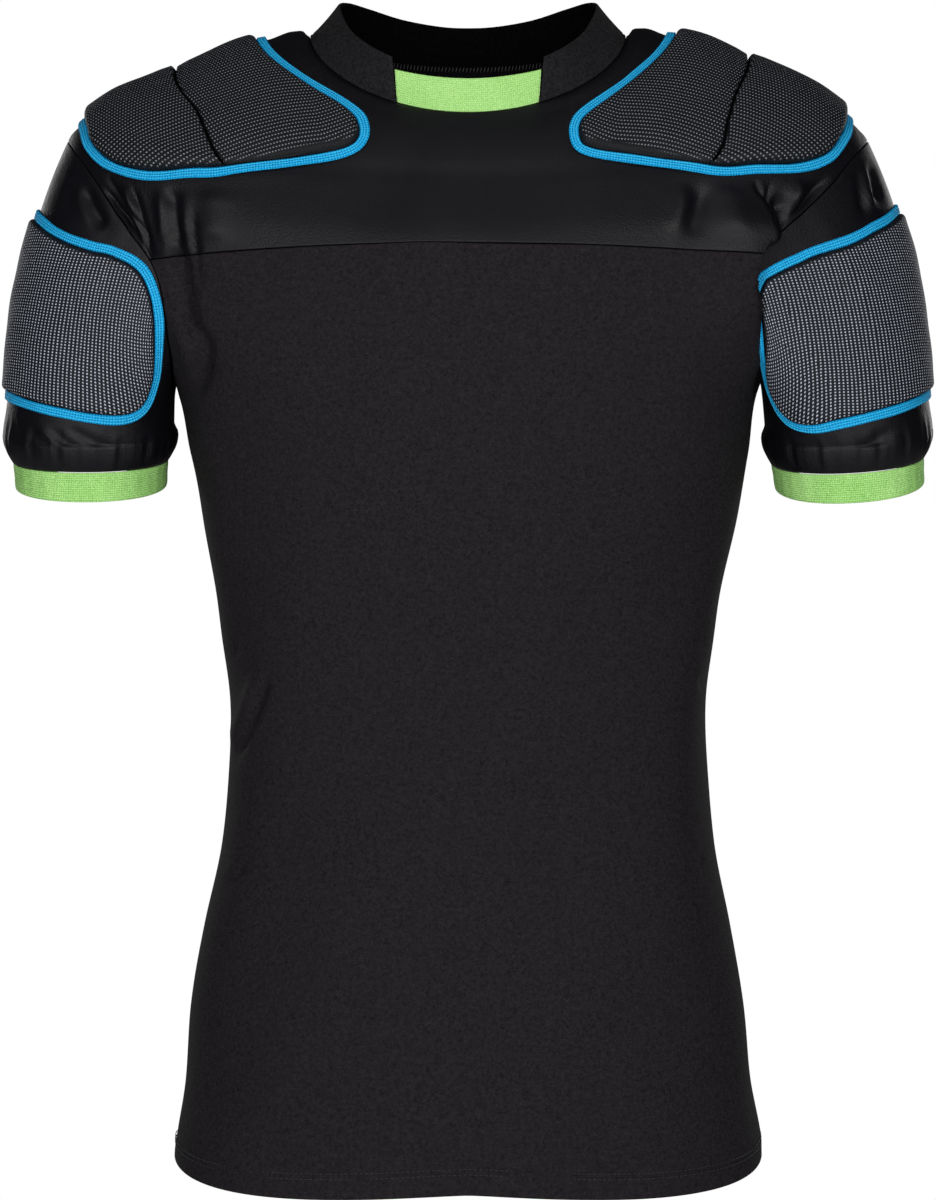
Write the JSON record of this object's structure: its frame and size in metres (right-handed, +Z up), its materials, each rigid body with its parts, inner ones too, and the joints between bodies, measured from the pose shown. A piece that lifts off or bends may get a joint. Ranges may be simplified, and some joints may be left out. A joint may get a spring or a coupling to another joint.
{
  "type": "rugby shoulder pads",
  "caption": "Short-sleeved protective rugby top with foam pads on the shoulders and upper arms, a low stand collar and elastic cuffs; worn form, hollow, held by the wearer.",
  "frame": {"origin": "middle of the neck base, at the height of the highest shoulder point, where the wearer's shoulders hold the garment", "axes": "+Z up along the torso, -Y out of the front, +X to the side that is on the right when seen from the front"},
  "size_m": [0.577, 0.2285, 0.7315],
  "materials": {
    "body_knit": "matte fine knit with a faint speckle",
    "shoulder_lycra": "smooth stretch cloth with a soft satin sheen",
    "collar_knit": "matte double knit",
    "pad_mesh": "foam under a dark mesh with rows of pale dots",
    "blue_binding": "flat stitched elastic binding",
    "lime_elastic": "woven elastic with a soft sheen",
    "lime_tab": "smooth woven cloth"
  },
  "bodies": {
    "root": {"front_body": "body_knit", "back_body": "body_knit", "yoke": "shoulder_lycra", "collar": "collar_knit", "collar_tab": "lime_tab", "sleeve_L": "shoulder_lycra", "sleeve_R": "shoulder_lycra", "cuff_L": "lime_elastic", "cuff_R": "lime_elastic", "shoulder_pad_inner_L": "pad_mesh", "shoulder_pad_outer_L": "pad_mesh", "bicep_pad_L": "pad_mesh", "shoulder_binding_L": "blue_binding", "bicep_binding_L": "blue_binding", "shoulder_pad_inner_R": "pad_mesh", "shoulder_pad_outer_R": "pad_mesh", "bicep_pad_R": "pad_mesh", "shoulder_binding_R": "blue_binding", "bicep_binding_R": "blue_binding"}
  },
  "joints": []
}
